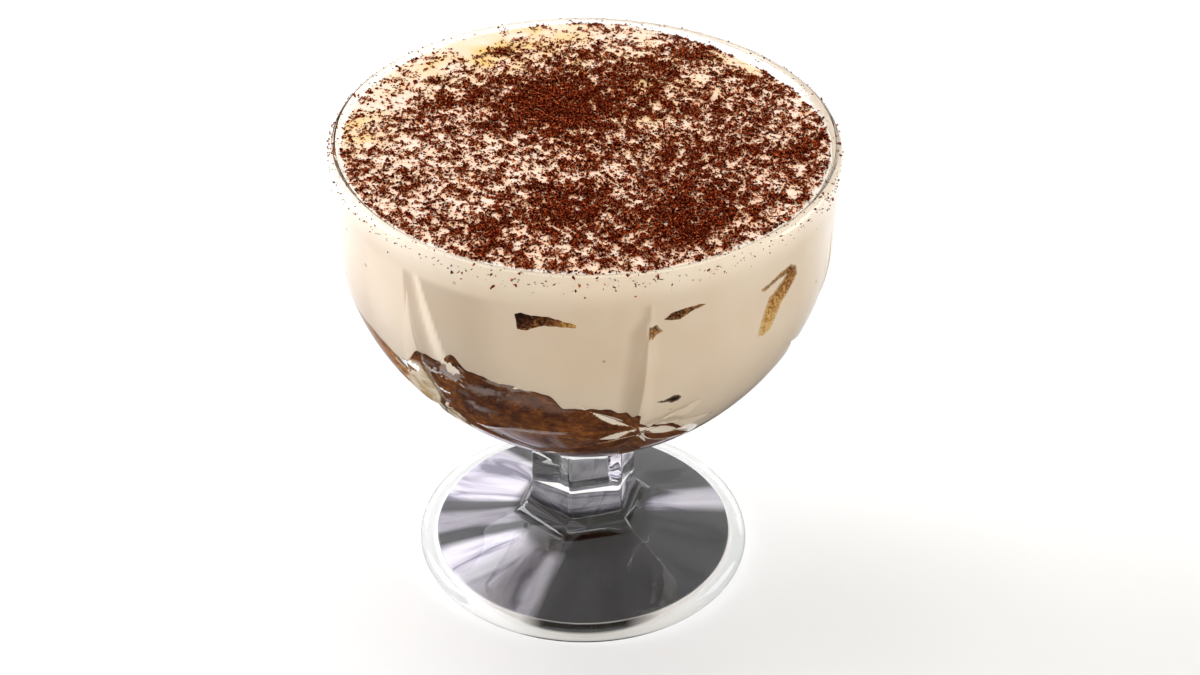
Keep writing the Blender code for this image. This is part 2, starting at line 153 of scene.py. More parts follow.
# Streaks of light on the filling at the left and the front flute: light, soft width of the left and right
# edge in degrees, and rows of height in millimetres and azimuth of the two edges
STREAKS = (
    (0.60, 3, 0.6, ((100, -57, -43.4), (84, -57, -42.8), (74, -57, -41.5))),
    (0.25, 0.6, 3, ((97, -43.2, -40.6), (89, -43, -39.2), (83.4, -42.6, -37.4), (74, -41.6, -35.5))),
    (0.27, 1, 18, ((100, -39, -18), (90.3, -37.2, -18), (83.3, -34.6, -18), (74, -32, -18))),
    (0.46, 16, 3, ((100, -18, 9), (74, -18, 9))),
    (0.95, 1, 1, (
        (97.2, -40, -38.9), (90.3, -38.6, -36.3), (83.3, -36.3, -33.7), (76.5, -34.4, -31.6),
        (74.5, -33, -33),
    )),
    (0.25, 3, 0.5, ((95, 13.4, 14.8), (91, 10.6, 14.4), (77, 9.2, 14), (62, 9, 14.6))),
    (0.66, 0.5, 1.6, ((95, 14.9, 15.6), (91, 14.4, 16.2), (77, 14, 17.2), (62, 14.6, 18.6))),
)
STREAK_ENDS = (64.0, 67.0, 96.0, 98.0)

GLASS_COLUMNS = 288
GLASS_STEP = 1.0 * MM
INSIDE_STEP = 1.8 * MM

# Filling. It reaches just into the wall, so that no air shows between them
CONTACT = 0.06 * MM
BISCUIT_CONTACT = 0.10 * MM
FILLING_COLUMNS = 470
SPONGE_COLUMNS = 510
WALL_ROWS = 66
TOP_ROWS = 60
SPONGE_ROWS = 118
SPONGE_GAP = 0.08 * MM
CREAM_TOP_Z = 104.8 * MM
CREAM_LOW_SIDE = (0.75, 0.66)
CREAM_DROP = 1.8 * MM
CREAM_SWELL = 0.3 * MM
CREAM_SWELL_SIZE = 18.0 * MM
CREAM_RIPPLE = 0.22 * MM
CREAM_RIPPLE_SIZE = 4.5 * MM
MENISCUS = 0.35 * MM
MENISCUS_REACH = 1.0 * MM
SPONGE_CENTRE_Z = 63.0 * MM
SPONGE_FLOOR = 37.0 * MM
SPONGE_EDGE = (
    (-180, 70), (-120, 77), (-90, 78), (-60, 75), (-49, 72.5), (-42, 77.3), (-39, 78.4), (-35, 78), (-31, 81),
    (-27, 78.2), (-19, 77.1), (-12, 76), (-8, 75.5), (-4, 71.7), (0, 71.5), (2, 72.2), (6, 71.3), (9.5, 69.8),
    (13, 66.8), (13.6, 67.2), (15.6, 66.8), (16, 63.6), (23, 61), (38, 55), (48, 57), (56, 59), (75, 53),
    (100, 51), (135, 56),
)
SPONGE_RAGGED = 0.5 * MM
TOP_EDGE_DARK_REACH = 0.35 * MM

# Pockets of air between sponge and wall: azimuth, height, half sizes in degrees and millimetres, and depth
AIR_POCKETS = (
    (-32, 76.3, 2.8, 2.3, 0.9), (-19.5, 76.8, 3, 0.6, 0.6), (-14.5, 76.2, 2.8, 0.6, 0.6),
    (-38.5, 68.6, 3, 0.8, 0.7), (-40, 74.6, 2, 0.7, 0.6), (-48.5, 71.4, 3.6, 1.3, 0.8), (-100, 70, 6, 3, 0.9),
    (-140, 66, 7, 2.5, 0.8), (160, 62, 6, 2, 0.8), (70, 50, 7, 1.5, 0.7),
)

# Painted reflection, a grey sheen on the sponge, in the same way, with its strength in place of the depth
SHEEN_REFLECTIONS = (
    (-24.5, 73.4, 5.8, 1.5, 0.95), (-27, 67, 4.8, 1.1, 0.95), (-13, 73.4, 9.5, 2.8, 0.34),
    (-6, 71.5, 5, 1.8, 0.25), (-38, 76.4, 3.6, 0.8, 0.5), (-30, 71, 3, 0.9, 0.4), (-110, 66, 9, 2, 0.5),
    (150, 58, 9, 1.6, 0.5),
)

# Painted light on the sponge where the thick foot of the wall lies over it, a pale stretch; further round the
# left side a tan stretch. Rows of height and azimuth of the two edges
PALE_LIGHT_SIDE = (
    (74, -50, -44), (70, -54, -42.6), (64, -56, -42), (58, -64, -43.5), (50, -76, -46), (44, -82, -50),
)
TAN_SIDE = ((82, -104, -51), (66, -104, -52), (56, -100, -62), (48, -96, -74))

# Yellow stains on top of the cream: centre x and y in millimetres, radius, strength
STAINS = (
    (-46, 2, 6, 0.8), (-20, 33, 6, 0.7), (-10, 44, 11, 0.5), (33, 38, 9, 0.5), (-34, 28, 12, 0.3),
    (10, 20, 18, 0.3),
)

# Biscuit ends at the wall: outline as azimuth and height in millimetres, depth, how golden they are, with a
# change to the right and upwards that is painted light and shade, and how far their edges fade into the cream
BISCUIT_TAPER = 0.8
BISCUIT_RAGGED = 0.2 * MM
BISCUIT_RAGGED_SIZE = 0.8 * MM
BISCUIT_FADE = 0.6 * MM
BISCUIT_CREASE = radians(40)
BISCUITS = {
    "biscuit_front": (
        ((-14.8, 94.9), (-13.6, 95.4), (-11.3, 95), (-7.4, 95.1), (-3.5, 94), (-1.4, 93.5), (-1.6, 92.8),
         (-5, 92.9), (-8.1, 92.9), (-10.3, 92.4), (-12.5, 91.4), (-14.2, 91.4)),
        3 * MM, (0.40, 0.40, -0.28), 0,
    ),
    "biscuit_middle": (
        ((17.9, 93.4), (19.6, 94.6), (21.9, 95.1), (26.2, 95.2), (27.6, 94.9), (23.8, 93.9), (21.5, 92.8),
         (19.7, 92.8)),
        3 * MM, (0.40, 0.22, -0.10), 0.1,
    ),
    "biscuit_crumb": (
        ((14.7, 91.9), (16.3, 92.4), (17.7, 90.7), (16.1, 90), (15.1, 88.3)),
        1.5 * MM, (0.60, 0, -0.45), 0.5,
    ),
    "biscuit_right": (
        ((42.6, 93.1), (45.5, 93.9), (48.8, 94.8), (52.6, 95.2), (54.5, 94), (55.2, 92), (54.2, 90.5),
         (51.8, 88.4), (49.9, 87.3), (48.4, 84.7), (46.8, 82.2), (44.9, 81.5), (42.8, 81.9), (43.4, 85.4),
         (44.6, 88.5), (45.4, 90.2), (47.2, 91.2), (49.2, 92.2), (50.8, 93.4), (48.2, 93.3), (46, 92.8),
         (43.6, 92.3)),
        3 * MM, (0.76, 0, -0.30), 0.75,
    ),
    "biscuit_low": (
        ((18.6, 71.8), (20.6, 72.9), (22, 73.5), (23.4, 73.2), (24.2, 72.4), (23.6, 71.5), (22.1, 71.2),
         (20.6, 71.7)),
        1.5 * MM, (0, 0, 0), 0.3,
    ),
}

# Grated chocolate. Heaps are centre x and y (to the back), radius in millimetres, and added cover
CHOCOLATE_SEED = 11
CHOCOLATE_REACH = 49.4 * MM
CHOCOLATE_COVER = 0.50
CHOCOLATE_THICKEST = 0.95
CHOCOLATE_CLUMPS = ((2.6 * MM, 0.45), (1.1 * MM, 0.60))
FLECK_FOOTPRINT = 0.096
PILE_HEIGHT = 0.7 * MM
RIM_FLECKS = 520
RIM_CLUSTER = 70
RIM_CLUSTER_TURN = (-96.0, -81.0)
WALL_FLECKS = 220
WALL_FLECK_DROP = 1.2 * MM
STRAY_SIZE = 0.85
STRAY_LIFT = 0.08 * MM
HEAPS = (
    (-5, 24, 14, 0.16), (-5, 10, 9, 0.51), (-17, 14, 12, 0.16), (-33, 12, 5, 0.22), (15, 28, 8, 0.18),
    (-15, 37, 6, 0.21), (0, 39, 5, 0.10), (25, 36, 6, 0.17), (18, 38, 7, 0.05), (21, -28, 9, 0.37),
    (18, -36, 6, 0.33), (-6, -22, 9, 0.08), (4, -21, 6, 0.11), (-3, -28, 8, 0.35), (25, -18, 7, 0.10),
    (42, -3, 5, 0.16), (14, -8, 6, 0.19), (25, -3, 6, 0.16), (-18, -36, 6, 0.13), (45, 15, 4, -0.29),
    (31, 12, 5, 0.10), (35, -5, 6, 0.10), (5, 18, 8, 0.17), (24, 27, 4, -0.15), (-20, -24, 4, -0.05),
    (6, -13, 4, -0.28), (-34, -9, 4, -0.22), (-35, 22, 6, -0.15), (-27, 11, 3, 0.16), (33, 34, 5, -0.53),
    (-3, -15, 4, -0.12), (-28, -22, 5, -0.07), (-32, 36, 12, -0.28), (-45, 28, 10, -0.58), (-5, 44, 8, -0.50),
    (-25, 42, 8, -0.80), (12, 44, 8, -0.41), (-46, 10, 6, -0.38), (-44, -1, 5, -0.31), (-36, 30, 7, 0.36),
    (-10, 40, 4, 0.30), (-12, 32, 5, -0.28), (-20, -6, 5, -0.24), (0, -10, 5, 0.20), (-33, -26, 5, -0.12),
    (45, -6, 5, 0.09), (8, -34, 5, 0.08), (-20, -40, 5, 0.12), (-38, 14, 4, -0.39), (-36, -3, 3, -0.15),
    (-31, 27, 4, -0.38), (-26, 9, 3, -0.44), (-39, 23, 3, 0.14), (30, 29, 3, 0.30), (24, 26, 3, -0.26),
    (-12, 42, 4, -0.44), (39, 0, 3, -0.30), (-12, -15, 4, -0.17), (-18, 27, 3, -0.30),
)


def np_around(azimuth, radius, z):
    """Points at azimuths in degrees, distances from the axis and heights, as an array of rows."""
    azimuth, radius, z = np.broadcast_arrays(azimuth, radius, z)
    angle = np.radians(azimuth)
    return np.stack([radius * np.sin(angle), -radius * np.cos(angle), z], axis=-1)


def around(azimuth, radius, z):
    """The same for one point."""
    angle = radians(azimuth)
    return Vector((radius * sin(angle), -radius * cos(angle), z))


def azimuth_of(points):
    return np.degrees(np.arctan2(points[:, 0], -points[:, 1]))


def smoothstep(low, high, value):
    part = np.clip((value - low) / (high - low), 0.0, 1.0)
    return part * part * (3.0 - 2.0 * part)


# Meshes


def add_object(name, data):
    item = bpy.data.objects.new(name, data)
    bpy.context.scene.collection.objects.link(item)
    return item


def make_object(name, points, faces, material):
    """A smooth mesh object from points and faces."""
    data = bpy.data.meshes.new(name)
    data.from_pydata(points, [], faces)
    data.update()
    data.shade_smooth()
    data.materials.append(material)
    return add_object(name, data)


def grid_faces(rows, columns):
    """Quads between rings of equal point counts."""
    row, column = np.meshgrid(np.arange(rows - 1), np.arange(columns), indexing="ij")
    after = (column + 1) % columns
    here, above = row * columns, (row + 1) * columns
    quads = np.stack([here + column, here + after, above + after, above + column], axis=-1)
    return quads.reshape(-1, 4).tolist()


def closed_rings(name, start, rings, end, material):
    """A closed solid from a start point through rings to an end point."""
    rings = np.asarray(rings)
    rows, columns = rings.shape[:2]
    points = rings.reshape(-1, 3).tolist() + [list(start), list(end)]
    faces = grid_faces(rows, columns)
    first, last = rows * columns, rows * columns + 1
    top = (rows - 1) * columns
    for column in range(columns):
        after = (column + 1) % columns
        faces.append((first, after, column))
        faces.append((top + column, top + after, last))
    return make_object(name, points, faces, material)


# Profile of the coupe


def bowl_curve(z, radius, base):
    """Radius at a height of a bowl that closes at its base and flares at the rim."""
    fall = np.clip((BOWL_WIDEST_Z - z) / (BOWL_WIDEST_Z - base), 0.0, 1.0)
    flare = RIM_FLARE * np.maximum(0.0, (z - BOWL_WIDEST_Z) / (GLASS_HEIGHT - BOWL_WIDEST_Z))
    return radius * (1.0 - fall * fall) ** BOWL_POWER + flare


def outside_radius(z):
    return bowl_curve(z, BOWL_RADIUS, BOWL_BASE_Z)


def inside_radius(z):
    return bowl_curve(z, BOWL_RADIUS - RIM_THICKNESS, INSIDE_BASE_Z)


def wall_radius(z):
    """Inside radius where the filling meets the glass, on up over the rounded lip."""
    rim_z = GLASS_HEIGHT - LIP
    lip_centre = outside_radius(GLASS_HEIGHT) - LIP
    on_lip = lip_centre - np.sqrt(np.maximum(LIP * LIP - (z - rim_z) ** 2, 0.0))
    return np.where(z > rim_z, on_lip, inside_radius(z))


def even_rows(curve, low, high, step):
    """Radii and heights along a curve between two heights, evenly spaced by length."""
    z = np.linspace(low, high, 2000)
    radius = curve(z)
    length = np.concatenate([[0.0], np.cumsum(np.hypot(np.diff(radius), np.diff(z)))])
    even = np.linspace(0.0, length[-1], max(2, int(round(length[-1] / step)) + 1))
    return np.interp(even, length, radius), np.interp(even, length, z)


def stem_and_bowl(z):
    """Outside radius from the stem up, with a small fillet where the bowl leaves the stem."""
    bowl = outside_radius(z)
    out = bowl - STEM_RADIUS
    larger = 0.5 * (bowl + STEM_RADIUS + np.sqrt(out ** 2 + STEM_BLEND ** 2))
    return larger - 0.5 * STEM_BLEND * np.exp(-np.abs(out) / STEM_BLEND)


def arc(centre_radius, centre_z, size, start, end, steps):
    angles = np.radians(np.linspace(start, end, steps))
    return [(centre_radius + size * cos(a), centre_z + size * sin(a)) for a in angles]


def foot_rows():
    """Radius and height from under the foot to the top of the stem."""
    ring_in, ring_out = REST_RING
    rows = []
    for radius in np.linspace(1.5 * MM, ring_in - UNDERSIDE_ROUND, 16):
        part = radius / ring_in
        rows.append((radius, UNDERSIDE_CENTRE_Z + (UNDERSIDE_EDGE_Z - UNDERSIDE_CENTRE_Z) * part * part))
    rows += arc(ring_in - UNDERSIDE_ROUND, UNDERSIDE_EDGE_Z - UNDERSIDE_ROUND, UNDERSIDE_ROUND, 80, 0, 4)
    rows += arc(ring_in + UNDERSIDE_ROUND, UNDERSIDE_ROUND, UNDERSIDE_ROUND, 180, 270, 5)
    rows += [(ring_in + (ring_out - ring_in) * part, 0.0) for part in (0.4, 0.7)]
    edge_centre = FOOT_RADIUS - FOOT_EDGE_ROUND
    slope_degrees = degrees(FLARE_SLOPE)
    rows += arc(edge_centre, FOOT_EDGE_ROUND, FOOT_EDGE_ROUND, -90, 90 - slope_degrees, 15)
    fillet_centre = STEM_RADIUS + FLARE_FILLET
    slope_end = fillet_centre - FLARE_FILLET * sin(FLARE_SLOPE)
    slope_start = rows[-1][0] - 1.0 * MM
    for radius in np.linspace(slope_start, slope_end, 26):
        rows.append((radius, FLARE_START[1] + (FLARE_START[0] - radius) * tan(FLARE_SLOPE)))
    centre_z = rows[-1][1] + FLARE_FILLET * cos(FLARE_SLOPE)
    rows += arc(fillet_centre, centre_z, FLARE_FILLET, 270 - slope_degrees, 180, 12)[1:]
    return rows


def six_sided(radius):
    """1 where the foot's panels are flat, fading to 0 at its round edge."""
    return 1.0 - np.clip((radius - FLAT_PANEL_END) / (REST_RING[0] - FLAT_PANEL_END), 0.0, 1.0)


def glass_rows():
    """Radius, height and six-sidedness from under the foot, over the rim and down inside."""
    rows = []
    for radius, z in foot_rows():
        upper = z > FOOT_EDGE_ROUND and radius < FOOT_RADIUS
        rows.append((radius, z, six_sided(radius) if upper and len(rows) > 25 else 0.0))
    stem_start = rows[-1][1]
    rim_z = GLASS_HEIGHT - LIP
    radii, heights = even_rows(stem_and_bowl, stem_start, rim_z, GLASS_STEP)
    sides = 1.0 - smoothstep(STEM_FADE[0], STEM_FADE[1], heights)
    rows += list(zip(radii, heights, sides))[1:]
    lip_centre = outside_radius(GLASS_HEIGHT) - LIP
    rows += [(radius, z, 0.0) for radius, z in arc(lip_centre, rim_z, LIP, 0, 180, 13)[1:]]
    radii, heights = even_rows(inside_radius, INSIDE_BASE_Z + 0.02 * MM, rim_z, INSIDE_STEP)
    rows += [(radius, z, 0.0) for radius, z in zip(radii[::-1], heights[::-1])][1:]
    return rows


def facet_offset(azimuth):
    """Degrees from the middle of the nearest of the six sides, with the corners rounded."""
    offset = np.abs((azimuth - TURN + SECTOR / 2) % SECTOR - SECTOR / 2)
    return SECTOR / 2 - np.hypot(SECTOR / 2 - offset, CORNER_ROUND)


# Cuts in the bowl

ARC_Z = np.linspace(34.0 * MM, GLASS_HEIGHT, 3000)
ARC_STEPS = np.hypot(np.diff(outside_radius(ARC_Z)), np.diff(ARC_Z))
ARC_LENGTH = np.concatenate([[0.0], np.cumsum(ARC_STEPS)])
ARC_LENGTH -= np.interp(STAR_Z, ARC_Z, ARC_LENGTH)


def on_bowl(centre_azimuth, across, up, lift):
    """Points at distances across and up from a star's centre, lifted off the bowl."""
    z = np.interp(up, ARC_LENGTH, ARC_Z)
    reach = 0.2 * MM
    slope = (outside_radius(z + reach) - outside_radius(z - reach)) / (2.0 * reach)
    tilt = np.hypot(1.0, slope)
    azimuth = centre_azimuth + np.degrees(across / outside_radius(z))
    return np_around(azimuth, outside_radius(z) + lift / tilt, z - lift * slope / tilt)


def cut_tool(name, centre_azimuth, direction, length, half_width, depth, skew, material, start=(0.0, 0.0)):
    """A pointed blade with a rounded keel along the bowl, outwards from a place across and up."""
    angle = radians(direction)
    ahead = np.array((cos(angle), sin(angle)))
    aside = np.array((-ahead[1], ahead[0]))
    wide = half_width * (depth + CUT_LIFT) / depth
    across = np.linspace(-1.0, 1.0, 2 * CUT_SIDE_STEPS + 1)
    fall = (np.hypot(across, KEEL_ROUND) - KEEL_ROUND) / (hypot(1.0, KEEL_ROUND) - KEEL_ROUND)
    sections = []
    for station in range(1, CUT_STATIONS):
        part = station / CUT_STATIONS
        swell = sin(pi * part ** skew)
        spots = start + ahead * length * part + np.outer(across * wide * swell, aside)
        lift = -depth * swell + (depth * swell + CUT_LIFT) * fall
        sections.append(on_bowl(centre_azimuth, spots[:, 0], spots[:, 1], lift))
    start, end = [on_bowl(centre_azimuth, *(start + ahead * length * part), CUT_LIFT) for part in (0.0, 1.0)]
    return closed_rings(name, start, sections, end, material)


def cut_pattern(glass, material):
    """Cut the six flutes and stars into the outside of the bowl."""
    tools = bpy.data.collections.new("cuts")
    bpy.context.scene.collection.children.link(tools)
    star = {"start": (STAR_ACROSS, STAR_UP), "material": material, **RAY_SHAPE}
    for side in range(SIDES):
        centre = TURN + SECTOR * side + CUT_SHIFT[side]
        blades = [cut_tool(f"flute_{side}", centre, material=material, **FLUTE)]
        for number, (direction, length) in enumerate(RAYS):
            blades.append(cut_tool(f"ray_{side}_{number}", centre, direction, length * MM, **star))
        for blade in blades:
            bpy.context.scene.collection.objects.unlink(blade)
            tools.objects.link(blade)
            fix_normals(blade)
    modifier = glass.modifiers.new("cut", "BOOLEAN")
    modifier.operation = "DIFFERENCE"
    modifier.operand_type = "COLLECTION"
    modifier.collection = tools
    modifier.solver = "MANIFOLD"
    evaluated = glass.evaluated_get(bpy.context.evaluated_depsgraph_get())
    data = bpy.data.meshes.new_from_object(evaluated)
    glass.modifiers.clear()
    glass.data = data
    for blade in list(tools.objects):
        bpy.data.objects.remove(blade)
    bpy.data.collections.remove(tools)
    data.shade_smooth()
    data.set_sharp_from_angle(angle=CUT_CREASE)


def streak_light(azimuth, z):
    """The light of the wall between the cuts."""
    z = z / MM
    ends = smoothstep(*STREAK_ENDS[:2], z) * (1.0 - smoothstep(*STREAK_ENDS[2:], z))
    result = np.full(len(azimuth), PLAIN_LIGHT)
    for light, left_soft, right_soft, rows in STREAKS:
        heights, lefts, rights = np.array(rows[::-1]).T
        from_left = azimuth - np.interp(z, heights, lefts)
        from_right = np.interp(z, heights, rights) - azimuth
        share = smoothstep(-0.5 * left_soft, 0.5 * left_soft, from_left)
        share = share * smoothstep(-0.5 * right_soft, 0.5 * right_soft, from_right) * ends
        result = result + share * (light - result)
    return result


def cut_light(points):
    """How the cuts light what lies behind them, from 0, dark, to 1, bright."""
    radius = np.hypot(points[:, 0], points[:, 1])
    azimuth = azimuth_of(points)
    z = np.clip(points[:, 2], ARC_Z[0], ARC_Z[-1])
    up = np.interp(z, ARC_Z, ARC_LENGTH)
    turn = azimuth - TURN + SECTOR / 2
    side = np.floor(turn / SECTOR).astype(int) % SIDES
    across = np.radians(turn % SECTOR - SECTOR / 2 - np.array(CUT_SHIFT)[side]) * outside_radius(z)
    base = streak_light(azimuth, z)
    streaked = np.isin(side, STREAKED_SIDES)
    blades = [(FLUTE, [np.where(streaked, base, light) for light in FLUTE_LIGHT])]
    for (angle, length), light in zip(RAYS, RAY_LIGHTS):
        light = [np.where(side == QUIET_STAR, QUIET_LIGHT, face) for face in light]
        blades.append((dict(RAY_SHAPE, direction=angle, length=length * MM), light))
    deepest = np.zeros(len(points))
    result = base
    for number, (blade, (left, right)) in enumerate(blades):
        angle = radians(blade["direction"])
        if number == 1:
            across, up = across - STAR_ACROSS, up - STAR_UP
        part = np.clip((across * cos(angle) + up * sin(angle)) / blade["length"], 0.0, 1.0)
        aside = up * cos(angle) - across * sin(angle)
        swell = np.sin(pi * part ** blade["skew"])
        wide = np.maximum(blade["half_width"] * swell, 0.01 * MM)
        depth = blade["depth"] * swell * (1.0 - np.abs(aside) / wide)
        share = np.clip(depth / CUT_SHADE_DEPTH, 0.0, 1.0)
        light = base + share * (np.where(aside > 0.0, left, right) - base)
        result = np.where(depth > deepest, light, result)
        deepest = np.maximum(deepest, depth)
    near_rim = smoothstep(*BRIGHT_RIM, points[:, 2])
    result = result + near_rim * (1.0 - result)
    return np.where(radius > inside_radius(z) - 0.5 * MM, result, TOP_LIGHT)


def store(item, name, values):
    """Keep a value per point on a mesh, for its material."""
    kept = item.data.attributes.new(name, "FLOAT", "POINT")
    kept.data.foreach_set("value", np.asarray(values, dtype=np.float32))


def mesh_points(item):
    points = np.empty(len(item.data.vertices) * 3)
    item.data.vertices.foreach_get("co", points)
    return points.reshape(-1, 3)


def fix_normals(item):
    """Turn all faces of a closed mesh outwards."""
    mesh = bmesh.new()
    mesh.from_mesh(item.data)
    bmesh.ops.recalc_face_normals(mesh, faces=mesh.faces)
    mesh.to_mesh(item.data)
    mesh.free()


def make_glass():
    """The coupe: foot, stem and bowl as one piece of glass."""
    azimuth = TURN + 360.0 * np.arange(GLASS_COLUMNS) / GLASS_COLUMNS
    flat = cos(radians(SECTOR / 2)) / np.cos(np.radians(facet_offset(azimuth)))
    rings = []
    for radius, z, sides in glass_rows():
        rings.append(np_around(azimuth, radius * (1.0 + sides * (flat - 1.0)), z))
    material = glass_material()
    under = (0.0, 0.0, UNDERSIDE_CENTRE_Z)
    glass = closed_rings("coupe_glass", under, rings, (0.0, 0.0, INSIDE_BASE_Z), material)
    fix_normals(glass)
    cut_pattern(glass, material)
    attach(glass, "root")
    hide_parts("glass")


# Filling


def sponge_edge(azimuth):
    """Height of the sponge's ragged top edge on the wall."""
    azimuth = (azimuth + 180.0) % 360.0 - 180.0
    points = list(SPONGE_EDGE) + [(180, SPONGE_EDGE[0][1])]
    for (left, low), (right, high) in zip(points[:-1], points[1:]):
        if left <= azimuth <= right:
            part = (azimuth - left) / (right - left)
            ragged = noise.noise(around(azimuth, 14.0, 0.5)) + 0.6 * noise.noise(around(azimuth, 40.0, 2.5))
            return (low + (high - low) * part * part * (3.0 - 2.0 * part)) * MM + SPONGE_RAGGED * ragged
    return points[-1][1] * MM


def filling_edge(columns):
    """Even azimuths, and the height of the sponge's edge at each."""
    azimuths = 360.0 * np.arange(columns) / columns
    return azimuths, np.array([sponge_edge(azimuth) for azimuth in azimuths])


def sponge_top(azimuths, edges, lift=0.0):
    """Rings of the face between sponge and cream, outwards from its middle."""
    rings = []
    for part in (0.3, 0.6, 0.85):
        z = SPONGE_CENTRE_Z + (edges - SPONGE_CENTRE_Z) * part ** 1.5
        rings.append(np_around(azimuths, inside_radius(edges) * part, z + lift))
    return rings


def cream_top(x, y):
    """Height of the cream: gently uneven, lower at the back right, turned down at the wall."""
    place = Vector((x, y, 0.0))
    swell = noise.noise(place / CREAM_SWELL_SIZE) * CREAM_SWELL
    ripple = noise.noise(place / CREAM_RIPPLE_SIZE) * CREAM_RIPPLE
    ripple += noise.noise(place / (0.4 * CREAM_RIPPLE_SIZE)) * 0.4 * CREAM_RIPPLE
    wall = inside_radius(CREAM_TOP_Z) - hypot(x, y)
    edge = MENISCUS * exp(-max(0.0, wall) / MENISCUS_REACH)
    side = (x * CREAM_LOW_SIDE[0] + y * CREAM_LOW_SIDE[1]) / BOWL_RADIUS
    return CREAM_TOP_Z + swell + ripple - CREAM_DROP * float(smoothstep(0.72, 1.0, side)) - edge


def on_cream_top(points):
    """Which points lie on top of the cream, clear of the wall."""
    inside = np.hypot(points[:, 0], points[:, 1]) < inside_radius(CREAM_TOP_Z) - 0.4 * MM
    return inside & (points[:, 2] > CREAM_TOP_Z - 3.0 * MM)


def cream_stain(points):
    """Yellowish staining of the cream by the chocolate, from 0 to 1."""
    stain = np.zeros(len(points))
    for x, y, radius, strength in STAINS:
        distance = np.hypot(points[:, 0] / MM - x, points[:, 1] / MM - y) / radius
        stain += strength * np.exp(-distance * distance)
    patches = np.array([noise.noise(Vector(point) / (5.0 * MM)) for point in points])
    stain = np.clip(stain * (1.0 + 1.2 * patches) + 0.25 * patches, 0.0, 1.0)
    return np.where(on_cream_top(points), stain, 0.0)


def make_cream():
    """The cream from the sponge up to just below the rim."""
    azimuths, edges = filling_edge(FILLING_COLUMNS)
    rings = sponge_top(azimuths, edges, 0.1 * MM)
    rim = inside_radius(CREAM_TOP_Z) + CONTACT
    rim_z = np.array([cream_top(*around(azimuth, rim, 0.0).xy) for azimuth in azimuths])
    for part in np.linspace(0.0, 1.0, WALL_ROWS):
        z = edges + SPONGE_GAP + (rim_z - edges - SPONGE_GAP) * part
        rings.append(np_around(azimuths, wall_radius(z) + CONTACT, z))
    rim = wall_radius(rim_z) + CONTACT
    for part in 1.0 - np.linspace(0.0, 1.0, TOP_ROWS)[1:-1] ** 1.25:
        places = np_around(azimuths, rim * part, 0.0)
        places[:, 2] = [cream_top(x, y) for x, y, _ in places]
        rings.append(places)
    start = (0.0, 0.0, SPONGE_CENTRE_Z)
    cream = closed_rings("cream_filling", start, rings, (0.0, 0.0, cream_top(0.0, 0.0)), cream_material())
    fix_normals(cream)
    points = mesh_points(cream)
    store(cream, "cut_light", cut_light(points))
    store(cream, "stain", cream_stain(points))
    # Orange on top where the chocolate lies: partly soak, partly painted warm shade between the flecks
    spots = zip(points, on_cream_top(points))
    store(cream, "soak_and_warm_shade", [0.2 + 0.8 * chocolate_cover(x, y) if top else 0.0 for (x, y, _), top in spots])
    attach(cream, "root")
    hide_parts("cream")


def ragged_patches(azimuths, z, patches, soft):
    """The strongest of some oval patches with ragged edges at each point of the wall."""
    most = np.zeros(len(azimuths))
    spots = list(zip(azimuths, z.tolist()))
    ragged = np.array([noise.noise(around(a, 75.0, 1.3 * h / MM)) for a, h in spots])
    ragged += np.array([0.8 * noise.noise(around(a, 160.0, 2.6 * h / MM)) for a, h in spots])
    for centre, height, half_turn, half_height, strength in patches:
        turn = (azimuths - centre + 180.0) % 360.0 - 180.0
        distance = np.hypot(turn / half_turn, (z / MM - height) / half_height) * (1.0 + 0.6 * ragged)
        most = np.maximum(most, strength * (1.0 - smoothstep(1.0 - soft, 1.0, distance)))
    return most


def side_stretch(points, rows, soft, top):
    """A stretch of the sponge at the left between rows of edges, from 0 to 1."""
    azimuth = azimuth_of(points)
    wobble = np.array([1.6 * noise.noise(Vector(point) / (2.2 * MM)) for point in points])
    heights, lefts, rights = np.array(rows[::-1]).T
    z = points[:, 2] / MM
    from_left = azimuth - np.interp(z, heights, lefts) + wobble
    from_right = np.interp(z, heights, rights) - azimuth + wobble
    sides = smoothstep(-soft, soft, from_left) * smoothstep(-0.6, 0.6, from_right)
    return sides * (1.0 - smoothstep(top - 1.0, top, z))


def make_sponge():
    """The coffee-soaked sponge, pressed against the wall with a few pockets of air."""
    azimuths, edges = filling_edge(SPONGE_COLUMNS)
    rings = []
    top_edge_dark = []
    for part in np.linspace(0.03, 1.0, SPONGE_ROWS):
        z = SPONGE_FLOOR + (edges - SPONGE_FLOOR) * part ** 1.6
        radius = inside_radius(z) + CONTACT - MM * ragged_patches(azimuths, z, AIR_POCKETS, 0.3)
        rings.append(np_around(azimuths, radius, z))
        top_edge_dark.append(np.exp((z - edges) / TOP_EDGE_DARK_REACH))
    rings += sponge_top(azimuths, edges)[::-1]
    top_edge_dark += [np.ones(SPONGE_COLUMNS)] * 3
    start, end = (0.0, 0.0, SPONGE_FLOOR), (0.0, 0.0, SPONGE_CENTRE_Z - 0.2 * MM)
    sponge = closed_rings("soaked_sponge", start, rings, end, sponge_material())
    fix_normals(sponge)
    points = mesh_points(sponge)
    store(sponge, "cut_light", cut_light(points))
    store(sponge, "sheen_reflection", ragged_patches(azimuth_of(points), points[:, 2], SHEEN_REFLECTIONS, 0.6))
    store(sponge, "pale", side_stretch(points, PALE_LIGHT_SIDE, 0.6, 74.0))
    store(sponge, "tan", side_stretch(points, TAN_SIDE, 10.0, 90.0))
    store(sponge, "top_edge_dark", np.concatenate(top_edge_dark + [np.array([0.0, 1.0])]))
    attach(sponge, "root")
    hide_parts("sponge")


